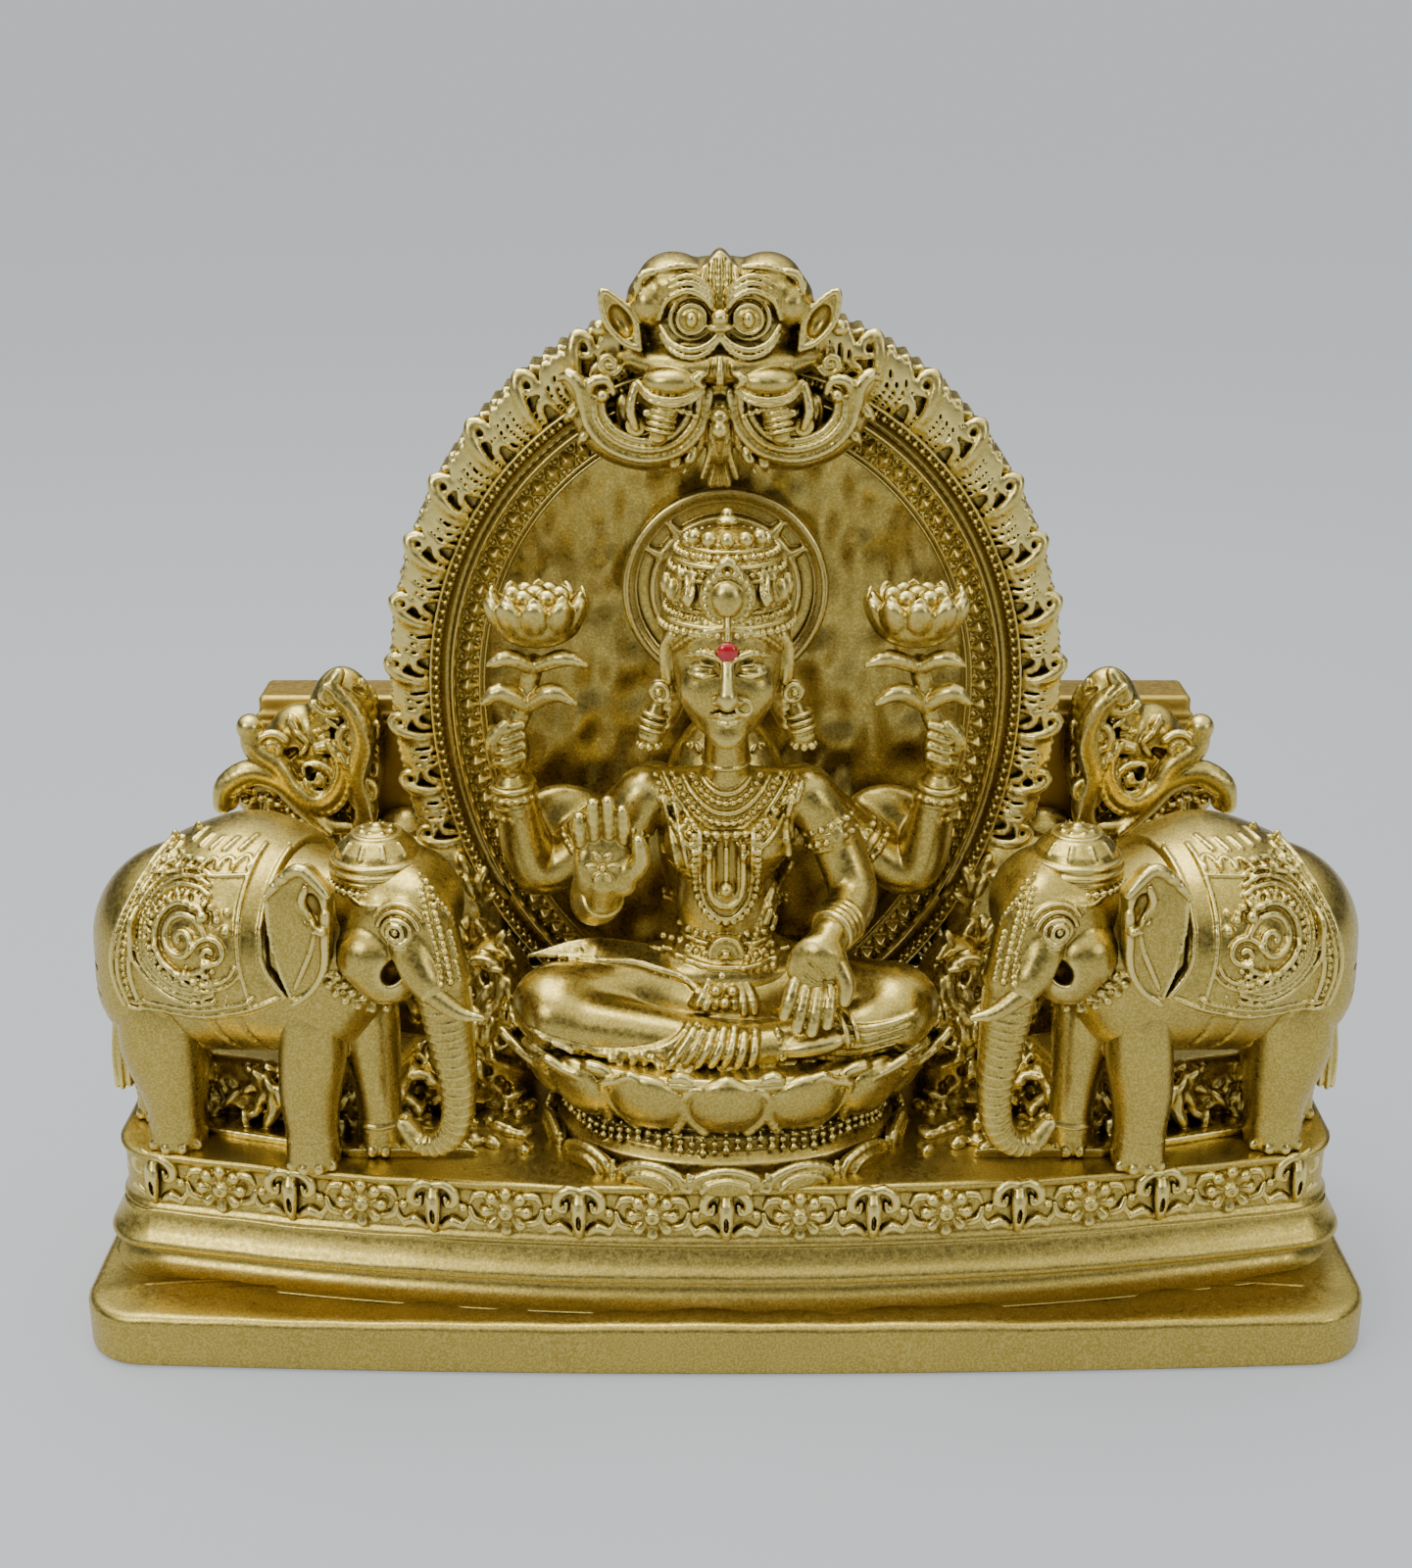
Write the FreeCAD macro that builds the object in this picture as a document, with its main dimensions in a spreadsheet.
"""Seated four-armed deity between two elephants, on a stepped plinth under a flame-edged arch.

A shelf statuette cast in filled resin and painted gold.  Frame: +Z up, the front faces -Y, +X to the
right as seen from the front.  The origin is the middle of the base slab's underside.  Millimetres.
"""
import FreeCAD, Part
import math
import os
import Sketcher

DIMENSIONS = [
    # base and plinth
    ("slab_width", 202.0, "base slab, side to side"),
    ("slab_front", 34.0, "half the slab's depth, front to back"),
    ("slab_height", 9.0, "base slab thickness"),
    ("slab_corner", 10.0, "plan radius of the slab corners"),
    ("slab_bow", 3.0, "how far the slab front bulges"),
    ("plinth_bow", 12.5, "how far the plinth front bulges"),
    ("plinth_back", 33.0, "y of the plinth's back face"),
    ("step_width", 194.0, "cove step, side to side"),
    ("lip_width", 198.0, "lip moulding, side to side"),
    ("deck_width", 194.0, "frieze block and deck, side to side"),
    ("step_front", 28.5, "front of the cove step, ahead of the origin"),
    ("lip_front", 31.0, "front of the lip edge, ahead of the origin"),
    ("deck_front", 28.5, "front of the frieze block, ahead of the origin"),
    ("lip_slope", 2.4, "bevel over the lip edge"),
    ("plinth_corner", 9.0, "plan radius of the plinth corners"),
    ("cove_height", 5.5, "height of the cove step"),
    ("lip_height", 5.5, "height of the lip moulding"),
    ("frieze_height", 10.0, "height of the frieze block"),
    ("deck_level", 30.0, "top of the deck, the sum of the four heights"),
    ("rosette_radius", 4.4, "flowers of the frieze"),
    ("frieze_pitch", 11.3, "spacing of flowers and buds along the frieze"),
    # arch
    ("arch_level", 97.0, "height of the arch's widest line"),
    ("arch_face", 11.0, "y of the front of the arch rings"),
    ("field_face", 19.0, "y of the recessed field"),
    ("plate_back", 31.0, "y of the back of the arch plate"),
    ("flame_half_width", 53.5, "outer half width of the flame border"),
    ("flame_rise", 62.0, "flame border, widest line to its top"),
    ("bead_half_width", 47.2, "outer half width of the beaded band"),
    ("bead_rise", 52.5, "beaded band, widest line to its top"),
    ("lozenge_half_width", 43.2, "outer half width of the lozenge band"),
    ("lozenge_rise", 48.2, "lozenge band, widest line to its top"),
    ("field_half_width", 38.6, "half width of the recessed field"),
    ("field_rise", 43.5, "field, widest line to its top"),
    ("arch_drop", 67.0, "widest line down to the deck"),
    ("halo_radius", 16.4, "halo behind the head"),
    ("halo_level", 112.5, "height of the halo's centre"),
    ("crest_level", 151.5, "height of the lion mask's centre"),
    ("statue_height", 165.0, "top of the lion mask"),
    # lotus seat and deity
    ("lotus_half_width", 31.0, "half width of the lotus bowl at its rim"),
    ("lotus_half_depth", 20.0, "half depth of the lotus bowl at its rim"),
    ("lotus_centre", 6.0, "how far the lotus centre is ahead of the origin"),
    ("seat_level", 48.0, "height of the lotus seat"),
    ("figure_height", 83.0, "deity, seat to the crown's finial"),
    ("knee_span", 67.0, "over the deity's knees"),
    ("head_half_width", 8.4, "half width of the deity's head"),
    ("limb_radius", 3.3, "deity's forearm"),
    # elephants
    ("elephant_height", 56.0, "deck to the top of the cap"),
    ("elephant_reach", 72.2, "statue's middle to the elephant's body centre"),
    ("elephant_setback", 9.6, "how far the body centre is ahead of the origin"),
    ("elephant_turn", 17.0, "degrees that the elephants turn to the front"),
    ("leg_radius", 4.6, "elephant leg"),
    ("wing_reach", 77.0, "outer edge of the wing blocks"),
    ("wing_level", 92.5, "top of the wing blocks"),
]

doc = FreeCAD.newDocument("DeityStatuette")
sheet = doc.addObject("Spreadsheet::Sheet", "Dims")
value = {}
for row, (alias, size, note) in enumerate(DIMENSIONS, start=1):
    sheet.set(f"A{row}", alias)
    sheet.set(f"B{row}", str(size))
    sheet.set(f"C{row}", note)
    sheet.setAlias(f"B{row}", alias)
    value[alias] = size
doc.recompute()

pieces = []  # finished sub-parts, in the order in which a later one gives way to an earlier one


def bind(thing, sizes):
    """Ties properties of a document object to expressions over the sheet."""
    for name, expression in sizes.items():
        thing.setExpression(name, str(expression))


def put(thing, at, axis=None, angle=0.0):
    """Places a document object at three expressions, turned about an axis by an angle in degrees."""
    if axis:
        thing.Placement = FreeCAD.Placement(
            FreeCAD.Vector(0, 0, 0), FreeCAD.Rotation(FreeCAD.Vector(*axis), angle)
        )
    bind(thing, {f"Placement.Base.{key}": expr for key, expr in zip("xyz", at)})
    return thing


def solid(kind, name, sizes, at=(0, 0, 0), axis=None, angle=0.0):
    """A Part primitive with its sizes and its place bound to the sheet."""
    thing = doc.addObject(f"Part::{kind}", name)
    bind(thing, sizes)
    return put(thing, at, axis, angle)


def blob(name, at, radii, axis=None, angle=0.0):
    """An ellipsoid of semi-axes (x, y, z)."""
    sizes = {"Radius1": radii[2], "Radius2": radii[0], "Radius3": radii[1]}
    return solid("Ellipsoid", name, sizes, at, axis, angle)


def ball(name, at, radius):
    return solid("Sphere", name, {"Radius": radius}, at)


def taper(name, start, end, radius_start, radius_end):
    """A cone between two points, in millimetres, whose radii are expressions."""
    line = FreeCAD.Vector(*end) - FreeCAD.Vector(*start)
    cone = doc.addObject("Part::Cone", name)
    bind(cone, {"Radius1": radius_start, "Radius2": radius_end, "Height": line.Length})
    turn = FreeCAD.Rotation(FreeCAD.Vector(0, 0, 1), line)
    cone.Placement = FreeCAD.Placement(FreeCAD.Vector(*start), turn)
    return cone


def fuse(name, parts):
    joined = doc.addObject("Part::MultiFuse", name)
    joined.Shapes = parts
    return joined


def common(name, first, second):
    kept = doc.addObject("Part::Common", name)
    kept.Base, kept.Tool = first, second
    return kept


def cut(name, base, tool):
    left = doc.addObject("Part::Cut", name)
    left.Base, left.Tool = base, tool
    return left


def limb(name, chain):
    """A bent limb through (point, radius) pairs: a ball at each joint and a cone between two."""
    parts = []
    for i, (point, radius) in enumerate(chain):
        parts.append(ball(f"{name}_joint{i}", point, f"1.02 * ({radius})"))
        if i:
            before, thick = chain[i - 1]
            parts.append(taper(f"{name}_run{i}", before, point, thick, radius))
    return fuse(name, parts)


def keep(thing, label):
    """Registers a finished sub-part under the name of its node."""
    thing.Label = label
    pieces.append(thing)
    return thing


def mirrored(thing, name):
    """The same piece on the other side of the statue's middle plane."""
    other = doc.addObject("Part::Mirroring", name)
    other.Source = thing
    other.Normal = FreeCAD.Vector(1, 0, 0)
    return other


# ---- base slab and plinth: PartDesign bodies from one plan outline ------------------------------


def origin_plane(body, role):
    return next(f for f in body.Origin.OriginFeatures if f.Role == role)


def plan_sketch(body, name, level, plan):
    """A plan outline with a straight back, straight sides and a bowed front, at a height."""
    width, front, back, bow = plan
    sketch = body.newObject("Sketcher::SketchObject", name)
    sketch.AttachmentSupport = [(origin_plane(body, "XY_Plane"), "")]
    sketch.MapMode = "FlatFace"
    sketch.setExpression("AttachmentOffset.Base.z", level)
    half, rear = value[width] / 2, value[back]
    middle, side = -value[front], -value[front] + value[bow]
    vec = FreeCAD.Vector
    sketch.addGeometry(Part.LineSegment(vec(-half, rear, 0), vec(half, rear, 0)))
    sketch.addGeometry(Part.LineSegment(vec(half, rear, 0), vec(half, side, 0)))
    sketch.addGeometry(Part.Arc(vec(-half, side, 0), vec(0, middle, 0), vec(half, side, 0)))
    sketch.addGeometry(Part.LineSegment(vec(-half, side, 0), vec(-half, rear, 0)))
    rule = Sketcher.Constraint
    for constraint in (
        rule("Coincident", 0, 2, 1, 1),
        rule("Coincident", 1, 2, 2, 2),
        rule("Coincident", 2, 1, 3, 1),
        rule("Coincident", 3, 2, 0, 1),
        rule("Horizontal", 0),
        rule("Vertical", 1),
        rule("Vertical", 3),
    ):
        sketch.addConstraint(constraint)
    radius = (half**2 + value[bow] ** 2) / (2 * value[bow])
    across, ahead, behind, bulge = (f"Dims.{alias}" for alias in plan)
    for constraint, expression in (
        (rule("DistanceX", 0, 1, 0, 2, 2 * half), across),
        (rule("DistanceX", 0, 1, -1, 1, half), f"{across} / 2"),
        (rule("DistanceY", -1, 1, 0, 1, rear), behind),
        (rule("DistanceY", 1, 2, 0, 2, rear - side), f"{behind} + {ahead} - {bulge}"),
        (rule("Radius", 2, radius), f"(({across} / 2)^2 + {bulge}^2) / (2 * {bulge})"),
    ):
        index = sketch.addConstraint(constraint)
        sketch.setExpression(f"Constraints[{index}]", expression)
    return sketch


def edges_where(shape, wanted):
    """Names of a shape's edges whose bounding box passes a test."""
    return [f"Edge{i}" for i, edge in enumerate(shape.Edges, start=1) if wanted(edge.BoundBox)]


def step(name, level, height, plan, corner):
    """A plinth step: a pad of a plan outline with its upright corners rounded."""
    body = doc.addObject("PartDesign::Body", name)
    pad = body.newObject("PartDesign::Pad", f"{name}Pad")
    pad.Profile = plan_sketch(body, f"{name}Plan", level, plan)
    pad.setExpression("Length", height)
    doc.recompute()
    fillet = body.newObject("PartDesign::Fillet", f"{name}Corners")
    fillet.Base = (pad, edges_where(pad.Shape, lambda box: box.ZLength > 1.0))
    fillet.setExpression("Radius", corner)
    body.Tip = fillet
    doc.recompute()
    return body


def bevel_top(body, size):
    """Bevels the top edges of a step, all but the back one."""
    base = body.Tip
    top, rear = base.Shape.BoundBox.ZMax, base.Shape.BoundBox.YMax
    bevel = body.newObject("PartDesign::Chamfer", f"{body.Name}Bevel")
    names = edges_where(base.Shape, lambda box: box.ZMin > top - 0.01 and box.YMin < rear - 20)
    bevel.Base = (base, names)
    bevel.setExpression("Size", size)
    body.Tip = bevel
    doc.recompute()
    return body


slab_plan = ("slab_width", "slab_front", "slab_front", "slab_bow")
cove_plan = ("step_width", "step_front", "plinth_back", "plinth_bow")
lip_plan = ("lip_width", "lip_front", "plinth_back", "plinth_bow")
deck_plan = ("deck_width", "deck_front", "plinth_back", "plinth_bow")
cove_top = "Dims.slab_height + Dims.cove_height"
lip_top = f"{cove_top} + Dims.lip_height"
corner = "Dims.plinth_corner"

keep(step("Slab", "0", "Dims.slab_height", slab_plan, "Dims.slab_corner"), "base_slab")
keep(step("Cove", "Dims.slab_height", "Dims.cove_height", cove_plan, corner), "plinth_cove_step")
lip = step("Lip", cove_top, "Dims.lip_height", lip_plan, corner)
keep(bevel_top(lip, "Dims.lip_slope"), "plinth_lip")
keep(step("Deck", lip_top, "Dims.frieze_height", deck_plan, corner), "plinth_deck")


# ---- frieze: flowers and hanging buds along the bowed front -------------------------------------


def frieze_spot(place):
    """x and y on the frieze's bowed face, at a number of pitches from the middle."""
    x = place * value["frieze_pitch"]
    radius = (value["deck_width"] ** 2 / 4 + value["plinth_bow"] ** 2) / (2 * value["plinth_bow"])
    return x, -value["deck_front"] + x**2 / (2 * radius)


def frieze_row(name, places, radius, height, thickness):
    """Round bosses standing on the frieze face."""
    level = f"{lip_top} + {height} * Dims.frieze_height"
    bosses = []
    for i, place in enumerate(places):
        x, y = frieze_spot(place)
        sizes = {"Radius": radius, "Height": thickness + 1.0}
        at = (x, y + 1.0, level)
        bosses.append(solid("Cylinder", f"{name}{i}", sizes, at, (1, 0, 0), 90))
    group = doc.addObject("Part::Compound", name)
    group.Links = bosses
    return group


flower_places = range(-7, 8, 2)
bud_places = range(-8, 9, 2)
keep(frieze_row("Flowers", flower_places, "Dims.rosette_radius", 0.5, 1.4), "frieze_flowers")
keep(frieze_row("Buds", bud_places, "0.7 * Dims.rosette_radius", 0.4, 2.0), "frieze_hanging_buds")


# ---- lotus seat -----------------------------------------------------------------------------------


def oval(name, half_width, half_depth, level):
    ring = doc.addObject("Part::Ellipse", name)
    bind(ring, {"MajorRadius": half_width, "MinorRadius": half_depth})
    return put(ring, (0, "-Dims.lotus_centre", level))


def lotus_oval(name, share, level):
    return oval(name, f"{share} * Dims.lotus_half_width", f"{share} * Dims.lotus_half_depth", level)


core = doc.addObject("Part::Loft", "LotusCore")
core.Sections = [
    lotus_oval("LotusFoot", 0.86, "Dims.deck_level"),
    lotus_oval("LotusWaist", 0.72, "Dims.deck_level + 6"),
    lotus_oval("LotusBelly", 0.86, "Dims.deck_level + 12"),
    lotus_oval("LotusRim", 0.9, "Dims.seat_level"),
]
core.Solid = True
keep(core, "lotus_core")


def petal_ring(name, share, level, size, steps, spread):
    """Petals as overlapping blobs round the front of the lotus, fused into one ring."""
    petals = []
    for i in range(-steps, steps + 1):
        angle = math.radians(i * spread / steps)
        x = f"{math.sin(angle):.4f} * {share} * Dims.lotus_half_width"
        y = f"-Dims.lotus_centre - {math.cos(angle):.4f} * {share} * Dims.lotus_half_depth"
        turn = math.degrees(math.atan2(math.sin(angle) * 0.55, math.cos(angle)))
        petals.append(blob(f"{name}{i + steps}", (x, y, level), size, (0, 0, 1), turn))
    return fuse(name, petals)


keep(
    petal_ring("FootPetals", 1.02, "Dims.deck_level + 2.6", ("5.2", "3", "2.6"), 2, 62),
    "lotus_foot_petals",
)
keep(
    petal_ring("BowlPetals", 0.93, "Dims.deck_level + 11", ("7", "3.2", "6.6"), 3, 80),
    "lotus_bowl_petals",
)


# ---- arch plate and its rings ---------------------------------------------------------------------


def egg(name, half_width, rise, front, back):
    """An egg-shaped plate: half ovals above and below the arch's widest line, meeting the deck."""
    inset = f"(Dims.flame_half_width - {half_width})"
    drop = f"Dims.arch_drop * {half_width} / Dims.flame_half_width + 0.45 * {inset}"
    halves = []
    for side, height, low in (("Up", rise, 0), ("Down", drop, -150)):
        outline = doc.addObject("Part::Ellipse", f"{name}{side}Line")
        bind(outline, {"MajorRadius": height, "MinorRadius": half_width})
        upright = FreeCAD.Rotation(FreeCAD.Vector(1, 0, 0), 90)
        turn = upright.multiply(FreeCAD.Rotation(FreeCAD.Vector(0, 0, 1), 90))
        outline.Placement = FreeCAD.Placement(FreeCAD.Vector(0, 0, 0), turn)
        bind(outline, {"Placement.Base.y": front, "Placement.Base.z": "Dims.arch_level"})
        plate = doc.addObject("Part::Extrusion", f"{name}{side}Plate")
        plate.Base = outline
        plate.Dir = FreeCAD.Vector(0, 1, 0)
        plate.DirMode = "Custom"
        plate.Solid = True
        plate.setExpression("LengthFwd", f"({back}) - ({front})")
        sizes = {"Length": 300, "Width": 100, "Height": 150}
        window = solid("Box", f"{name}{side}Window", sizes, (-150, -50, f"Dims.arch_level + {low}"))
        halves.append(common(f"{name}{side}", plate, window))
    return fuse(name, halves)


def above_deck(name, thing):
    """Trims a piece to what stands above the deck."""
    sizes = {"Length": 300, "Width": 100, "Height": 200}
    return common(name, thing, solid("Box", f"{name}Room", sizes, (-150, -50, "Dims.deck_level")))


def ring(name, outer, inner, front, back):
    """The band between two egg outlines, each (half width, rise)."""
    band = cut(f"{name}Band", egg(f"{name}Out", *outer, front, back), egg(f"{name}In", *inner, front, back))
    return above_deck(name, band)


flame_line = ("Dims.flame_half_width", "Dims.flame_rise")
bead_line = ("Dims.bead_half_width", "Dims.bead_rise")
lozenge_line = ("Dims.lozenge_half_width", "Dims.lozenge_rise")
field_line = ("Dims.field_half_width", "Dims.field_rise")
keep(above_deck("Plate", egg("PlateEgg", *flame_line, "Dims.field_face", "Dims.plate_back")), "arch_back_plate")
keep(ring("Flames", flame_line, bead_line, "Dims.arch_face + 1", "Dims.field_face"), "arch_flame_border")
keep(ring("Beads", bead_line, lozenge_line, "Dims.arch_face", "Dims.field_face"), "arch_beaded_band")
keep(
    ring("Lozenges", lozenge_line, field_line, "Dims.arch_face + 2", "Dims.field_face"),
    "arch_lozenge_band",
)
halo_sizes = {"Radius": "Dims.halo_radius", "Height": "3.5"}
keep(
    solid("Cylinder", "Halo", halo_sizes, (0, "Dims.field_face", "Dims.halo_level"), (1, 0, 0), 90),
    "halo_disc",
)

# ---- crest: lion mask over two curling scrolls ----------------------------------------------------

mask_face = "Dims.arch_face - 1"
mask_parts = [
    blob("MaskSkull", (0, "Dims.arch_face + 3", "Dims.crest_level + 4"), ("15", "7", "8.6")),
    blob("MaskMuzzle", (0, mask_face, "Dims.crest_level - 6"), ("14", "7.5", "6.5")),
]
for side, sign in (("Right", -1), ("Left", 1)):
    mask_parts += [
        ball(f"Mask{side}Eye", (sign * 5.1, "Dims.arch_face - 4", "Dims.crest_level + 4.4"), "3.2"),
        blob(f"Mask{side}Brow", (sign * 7.5, "Dims.arch_face + 1", "Dims.statue_height - 6.2"), ("5.2", "5", "5.6")),
        blob(f"Mask{side}Ear", (sign * 15, "Dims.arch_face", "Dims.crest_level + 6"), ("3", "3", "4.6")),
    ]
mask_parts.append(blob("MaskPlume", (0, "Dims.arch_face + 1", "Dims.statue_height - 5"), ("3", "3.5", "5")))
keep(fuse("Mask", mask_parts), "crest_lion_mask")


def hoop(name, at, radius, thickness):
    """A round scroll facing the front."""
    sizes = {"Radius1": radius, "Radius2": thickness}
    return solid("Torus", name, sizes, at, (1, 0, 0), 90)


curls = [
    hoop(f"Curl{side}", (sign * 11.6, "Dims.arch_face - 3", "Dims.crest_level - 6.2"), "9.2", "2.2")
    for side, sign in (("Right", -1), ("Left", 1))
]
keep(fuse("Curls", curls), "crest_curling_scrolls")

# ---- deity ----------------------------------------------------------------------------------------

seat = value["seat_level"]
tall = value["figure_height"]
knee = value["knee_span"] / 2


def up(share):
    """Height above the seat as a share of the figure's height."""
    return round(seat + share * tall, 2)


lap = [
    blob("Hips", (0, -7, up(0.075)), ("17", "12", "8")),
    limb("RightThigh", [((-9, -6, up(0.08)), "6.6"), ((5.8 - knee, -12, up(0.072)), "5.8")]),
    limb("LeftThigh", [((9, -6, up(0.08)), "6.6"), ((knee - 5.8, -12, up(0.072)), "5.8")]),
    limb("RightShin", [((7 - knee, -14, up(0.06)), "5.4"), ((3, -20, up(0.035)), "3.8")]),
    limb("LeftShin", [((knee - 7, -14, up(0.06)), "5.4"), ((-3, -19, up(0.03)), "3.8")]),
]
keep(above_deck("LapTrim", fuse("Lap", lap)), "deity_crossed_legs")
torso = [
    blob("Belly", (0, -4, up(0.22)), ("8.4", "6", "8")),
    blob("Chest", (0, -4.5, up(0.365)), ("12.2", "7", "9.5")),
    blob("Shoulders", (0, -3, up(0.455)), ("14", "5.5", "4")),
    limb("Neck", [((0, -5, up(0.47)), "4.2"), ((0, -6, up(0.6)), "4.0")]),
    blob("Backing", (0, 8, up(0.28)), ("10", "12", "20")),
]
keep(fuse("Torso", torso), "deity_torso")
keep(blob("Head", (0, -9, up(0.709)), ("Dims.head_half_width", "8", "10.4")), "deity_head")
crown = [
    taper("CrownBand", (0, -8, up(0.81)), (0, -7.4, up(0.87)), "9.8", "9"),
    taper("CrownDrum", (0, -7.4, up(0.86)), (0, -6, up(0.945)), "8.2", "6.6"),
    taper("CrownCap", (0, -6, up(0.94)), (0, -6, up(0.975)), "5.2", "2.4"),
    ball("CrownFinial", (0, -6, up(0.981)), "1.6"),
]
keep(fuse("Crown", crown), "deity_crown")
keep(ball("Dot", (0, -16.2, up(0.785)), "1.5"), "forehead_dot")
thick = "Dims.limb_radius"
right_arm = [((-13.2, -4, up(0.445)), "4.4"), ((-19.5, -7, up(0.26)), thick), ((-18.4, -13, up(0.30)), "3.2")]
left_arm = [((13.2, -4, up(0.445)), "4.4"), ((18.6, -7, up(0.25)), thick), ((15.4, -17, up(0.225)), "3.2")]
keep(limb("RightArm", right_arm), "deity_front_right_arm")
keep(limb("LeftArm", left_arm), "deity_front_left_arm")
keep(blob("RightHand", (-18.3, -17.5, up(0.40)), ("5.2", "2.6", "8.2")), "deity_front_right_hand")
keep(blob("LeftHand", (13.4, -20.5, up(0.17)), ("5", "2.8", "7.4")), "deity_front_left_hand")
rear_arm = [
    ((-12, 3, up(0.42)), "4.2"),
    ((-28.6, 5, up(0.26)), "4.4"),
    ((-33.2, 3, up(0.44)), "3.1"),
    ((-33.4, 1, up(0.55)), "3.6"),
]
keep(limb("RearRightArm", rear_arm), "deity_rear_right_arm")
keep(mirrored(pieces[-1], "RearLeftArm"), "deity_rear_left_arm")
bud = [
    taper("BudStem", (-31.5, 1, up(0.56)), (-28.8, 1, up(0.72)), "1.6", "1.6"),
    blob("BudLeaf", (-28.8, 1, up(0.715)), ("6.2", "4.5", "1.7")),
    blob("BudBowl", (-28.8, 0, up(0.775)), ("8", "6.2", "4.8")),
]
keep(fuse("RightBud", bud), "right_held_lotus")
keep(mirrored(pieces[-1], "LeftBud"), "left_held_lotus")
drops = [
    blob(f"Drop{side}", (sign * 10.2, -6, up(0.605)), ("1.7", "1.7", "4.6"))
    for side, sign in (("Right", -1), ("Left", 1))
]
pair = doc.addObject("Part::Compound", "Drops")
pair.Links = drops
keep(pair, "deity_ear_pendants")
garland = hoop("Garland", (0, -11.2, up(0.33)), "5.4", "1.1")
keep(garland, "deity_pendant_garland")

# ---- elephants: the left one is modelled, the right one mirrors it --------------------------------

deck = value["deck_level"]
high = value["elephant_height"]
turn = math.radians(value["elephant_turn"])


def elephant(along, out, share):
    """A point on the left elephant: along its spine to the head, out to its near side, and up."""
    x = -value["elephant_reach"] + along * math.cos(turn) - out * math.sin(turn)
    y = -value["elephant_setback"] - along * math.sin(turn) - out * math.cos(turn)
    return (round(x, 2), round(y, 2), round(deck + share * high, 2))


yaw = ((0, 0, 1), -value["elephant_turn"])


def elephant_pieces():
    """(document object, piece name) for each sub-part of the left elephant."""
    spine = [
        (elephant(-12.5, 0, 0.59), "14.6"),
        (elephant(-1, 0, 0.63), "16.6"),
        (elephant(12, 0, 0.615), "13"),
    ]
    body = limb("ElBody", spine)
    head = fuse(
        "ElHead",
        [
            blob("ElSkull", elephant(25, 2.5, 0.76), ("9", "10", "10"), *yaw),
            blob("ElCheek", elephant(22.7, 8.8, 0.685), ("5.8", "5.4", "5.6"), *yaw),
        ],
    )
    trunk = limb(
        "ElTrunk",
        [
            (elephant(29.6, 7, 0.72), "5.6"),
            (elephant(33.4, 8, 0.52), "4.2"),
            (elephant(35.8, 8, 0.30), "2.9"),
            (elephant(34.2, 8, 0.145), "2.4"),
            (elephant(30.4, 8, 0.11), "2.1"),
            (elephant(27, 8, 0.16), "1.8"),
        ],
    )
    tusk = limb("ElTusk", [(elephant(29.5, 11.5, 0.64), "1.9"), (elephant(40.6, 10.5, 0.535), "0.6")])
    ear = limb(
        "ElEar",
        [
            (elephant(15.2, 13.4, 0.885), "2.4"),
            (elephant(14, 14.4, 0.765), "4.0"),
            (elephant(13.2, 14.6, 0.60), "2.0"),
        ],
    )
    legs = []
    spots = (("FrontNear", 11.2, 8.2), ("FrontFar", 19, 0.5), ("RearNear", -12.4, 8.2), ("RearFar", -20, 0))
    for name, along, out in spots:
        foot, knee_point = elephant(along, out, 0.0), elephant(along, out, 0.34)
        legs.append(taper(f"El{name}", foot, knee_point, "Dims.leg_radius", "Dims.leg_radius + 1"))
    four = doc.addObject("Part::Compound", "ElLegs")
    four.Links = legs
    cloth_room = solid(
        "Box",
        "ElClothRoom",
        {"Length": "26", "Width": "60", "Height": "44"},
        elephant(-17, 28, 0.455),
        *yaw,
    )
    blanket = [
        (elephant(-12.5, 0, 0.59), "15.8"),
        (elephant(-1, 0, 0.635), "17.8"),
        (elephant(12, 0, 0.625), "14.2"),
    ]
    cloth = common("ElCloth", limb("ElBlanket", blanket), cloth_room)
    cap = blob("ElCap", elephant(22, 2.5, 0.915), ("6.6", "6.8", "4.7"), *yaw)
    tail = limb("ElTail", [(elephant(-26.4, -3, 0.55), "1.6"), (elephant(-28, -3, 0.30), "1.5"), (elephant(-28, -3, 0.08), "2.3")])
    return [
        (body, "body"),
        (head, "head"),
        (trunk, "trunk"),
        (ear, "ear"),
        (tusk, "tusk"),
        (four, "legs"),
        (cloth, "saddle_cloth"),
        (cap, "head_cap"),
        (tail, "tail"),
    ]


left_pieces = elephant_pieces()
for thing, name in left_pieces:
    keep(thing, f"left_elephant_{name}")
for thing, name in left_pieces:
    keep(mirrored(thing, f"Right{thing.Name}"), f"right_elephant_{name}")

# ---- wings: rear blocks, scrolls and the ground that ties the figures to the plate -----------------

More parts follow.
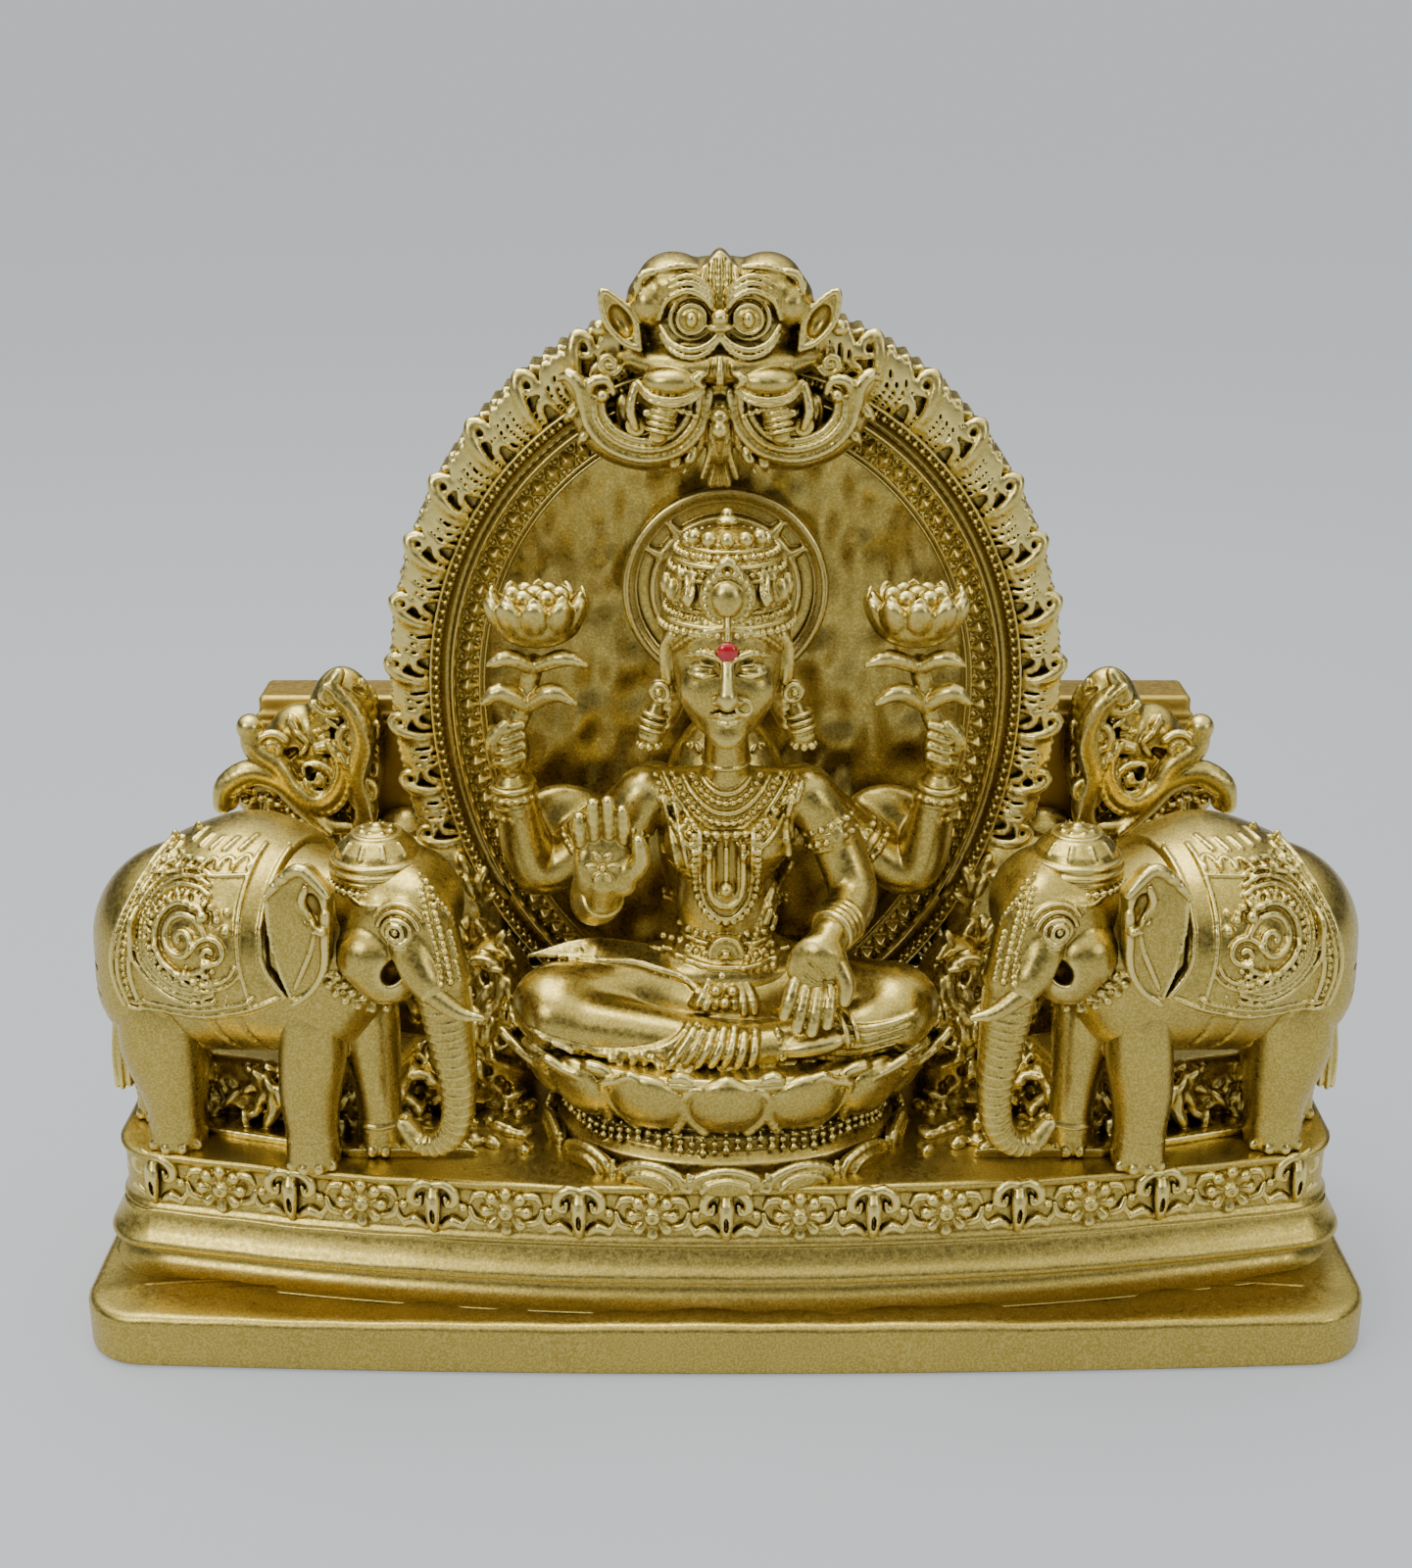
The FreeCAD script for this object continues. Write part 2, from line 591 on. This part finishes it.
block = solid(
    "Box",
    "WingBlock",
    {"Length": "26", "Width": "10", "Height": "Dims.wing_level - Dims.deck_level"},
    ("-Dims.wing_reach", "Dims.plate_back - 8", "Dims.deck_level"),
)
keep(block, "left_wing_block")
keep(mirrored(block, "RightWingBlock"), "right_wing_block")
scroll_row = value["field_face"] - 1
curl = [
    ((-78.5, scroll_row, 78), "2.6"),
    ((-72.5, scroll_row, 74), "4.4"),
    ((-64.5, scroll_row, 78), "4.6"),
    ((-60, scroll_row, 87), "4.0"),
    ((-59, scroll_row, 95), "2.6"),
]
foot = [((-74, scroll_row, 71), "3.4"), ((-57, scroll_row, 72), "4.4"), ((-50, scroll_row, 63), "6")]
scrolls = [limb("ScrollCurl", curl), limb("ScrollFoot", foot)]
keep(fuse("WingScrolls", scrolls), "left_wing_scrolls")
keep(mirrored(pieces[-1], "RightWingScrolls"), "right_wing_scrolls")
ground = fuse(
    "Ground",
    [
        solid("Box", "Ledge", {"Length": "62", "Width": "22", "Height": "11"}, (-93, 10, "Dims.deck_level")),
        blob("GroundLeaf", (-39, 1, 40), ("9", "13", "17")),
        solid("Box", "BellyRock", {"Length": "44", "Width": "24", "Height": "12"}, elephant(-20, 0, 0), *yaw),
    ],
)
keep(above_deck("LeftGround", ground), "left_leafy_ground")
keep(mirrored(pieces[-1], "RightGround"), "right_leafy_ground")

# ---- later pieces give way to earlier ones, then each sub-part is written --------------------------

TOUCH = 1e-6  # a shared volume under this is only contact
CRUMB = 0.02  # a loose solid under this share of its piece is a crumb of the cut


doc.recompute()
finished = []
for piece in pieces:
    rivals = [f for f in finished if piece.Shape.BoundBox.intersect(f.Shape.BoundBox)]
    rivals = [f for f in rivals if piece.Shape.common(f.Shape).Volume > TOUCH]
    if rivals:
        label = piece.Label
        piece.Label = f"{label}_whole"
        tool = rivals[0] if len(rivals) == 1 else fuse(f"{piece.Name}Room", rivals)
        piece = cut(f"{piece.Name}Fitted", piece, tool)
        piece.Label = label
        doc.recompute()
    finished.append(piece)

for thing in doc.Objects:
    if "Invalid" in thing.State or "Error" in thing.State:
        raise RuntimeError(f"{thing.Label} failed: {thing.State}")

os.makedirs("parts", exist_ok=True)
total = 0.0
for piece in finished:
    solids = piece.Shape.Solids
    largest = max(s.Volume for s in solids)
    solids = [s for s in solids if s.Volume > CRUMB * largest]
    shape = solids[0] if len(solids) == 1 else Part.makeCompound(solids)
    if shape.isNull() or not shape.isValid():
        raise RuntimeError(f"{piece.Label} is not a valid solid")
    shape.exportStep(f"parts/{piece.Label}.step")
    total += shape.Volume
print(f"{len(finished)} sub-parts, {total / 1000:.1f} cm3")
